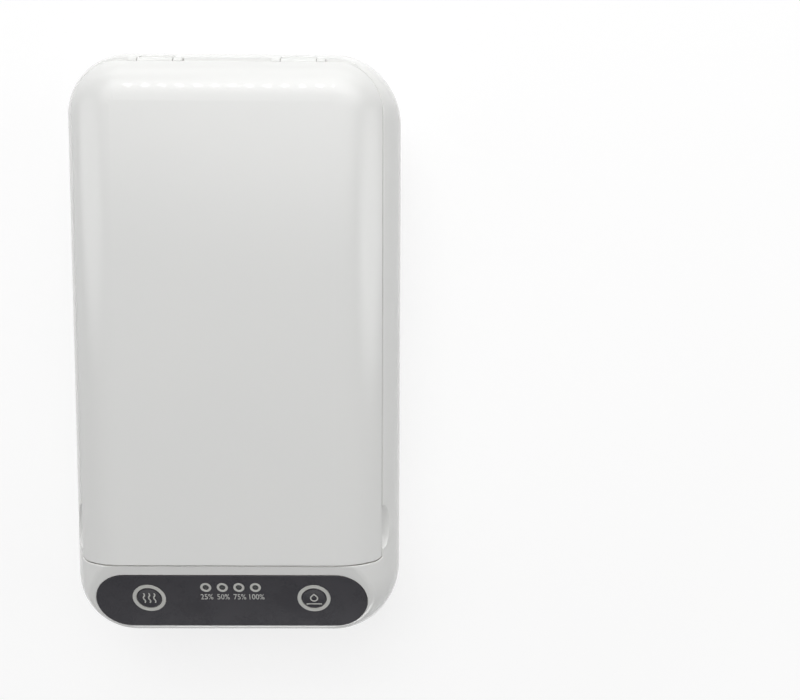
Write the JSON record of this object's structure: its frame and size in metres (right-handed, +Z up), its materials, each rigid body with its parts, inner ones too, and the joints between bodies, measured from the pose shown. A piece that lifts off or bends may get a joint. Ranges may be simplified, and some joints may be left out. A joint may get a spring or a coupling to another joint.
{
  "type": "uv phone sanitizer box",
  "caption": "White pebble-shaped clamshell box that bathes a phone in UV-C light, with a dark sloping control strip, push buttons, indicator rings and a rear-hinged lid.",
  "frame": {"origin": "middle of the bounding box's underside, on the surface that the rubber feet stand on", "axes": "+Z up; +Y along the length towards the rear hinge, so the control strip is at -Y; +X to the right of a person who faces the control strip"},
  "size_m": [0.13, 0.23, 0.05],
  "materials": {
    "white_shell": "gloss",
    "white_liner": "satin",
    "polished_sheet": "polished",
    "amber_film": "gloss",
    "felt": "felt",
    "ceramic": "matte",
    "foam": "matte",
    "pressed_steel": "satin",
    "paper_cone": "matte",
    "circuit_board": "satin",
    "screw_steel": "satin",
    "ferrite": "matte",
    "can_aluminium": "satin",
    "chip_black": "matte",
    "header_white": "satin",
    "panel_dark": "satin",
    "ring_grey": "satin",
    "clear_pipe": "clear",
    "switch_body": "satin",
    "nickel": "bright",
    "rubber_grey": "matte",
    "silicone": "translucent matte",
    "quartz": "clear",
    "spring_steel": "bright",
    "plunger_black": "satin"
  },
  "bodies": {
    "base": {"bottom_shell": "white_shell", "upper_shell": "white_shell", "cavity_tray": "white_liner", "floor_reflector": "polished_sheet", "warming_film": "amber_film", "aroma_pad": "felt", "aroma_cap": "white_liner", "aroma_heater": "ceramic", "speaker_gasket": "foam", "speaker_frame": "pressed_steel", "speaker_cone": "paper_cone", "speaker_magnet": "pressed_steel", "driver_board": "circuit_board", "driver_board_screws": "screw_steel", "inverter_transformer": "ferrite", "capacitors": "can_aluminium", "power_inductor": "ferrite", "driver_chips": "chip_black", "cable_headers": "header_white", "power_socket": "pressed_steel", "socket_tongue": "chip_black", "socket_board": "circuit_board", "control_panel": "panel_dark", "button_rings": "ring_grey", "led_rings": "ring_grey", "light_pipes": "clear_pipe", "control_board": "circuit_board", "control_board_screws": "screw_steel", "tact_switches": "switch_body", "status_leds": "header_white", "board_connector": "header_white", "base_magnets": "nickel", "lid_sensor": "chip_black", "hinge_pins": "screw_steel", "rubber_feet": "rubber_grey", "case_screws": "screw_steel"},
    "lid": {"lid_cover": "white_shell", "lid_liner": "white_liner", "lid_reflector": "polished_sheet", "lid_screws": "screw_steel", "lid_bumpers": "silicone", "lid_magnets": "nickel", "uv_lamp_left": "quartz", "uv_lamp_right": "quartz", "lamp_electrodes": "nickel", "lamp_end_caps": "silicone", "lamp_clips": "spring_steel"},
    "aroma_key": {"aroma_button": "panel_dark", "aroma_plunger": "plunger_black"},
    "coating_key": {"coating_button": "panel_dark", "coating_plunger": "plunger_black"}
  },
  "joints": [
    {"name": "lid_hinge", "type": "hinge", "parent": "base", "child": "lid", "pos_m": [0, 0.1075, 0.0416], "axis": [-1, 0, 0], "range_deg": [0, 100]},
    {"name": "aroma_button_press", "type": "slide", "parent": "base", "child": "aroma_key", "axis": [0, 0.3173, -0.9483], "range_m": [0, 0.0004], "stiffness_N_per_m": 4000},
    {"name": "coating_button_press", "type": "slide", "parent": "base", "child": "coating_key", "axis": [0, 0.3173, -0.9483], "range_m": [0, 0.0004], "stiffness_N_per_m": 4000}
  ]
}
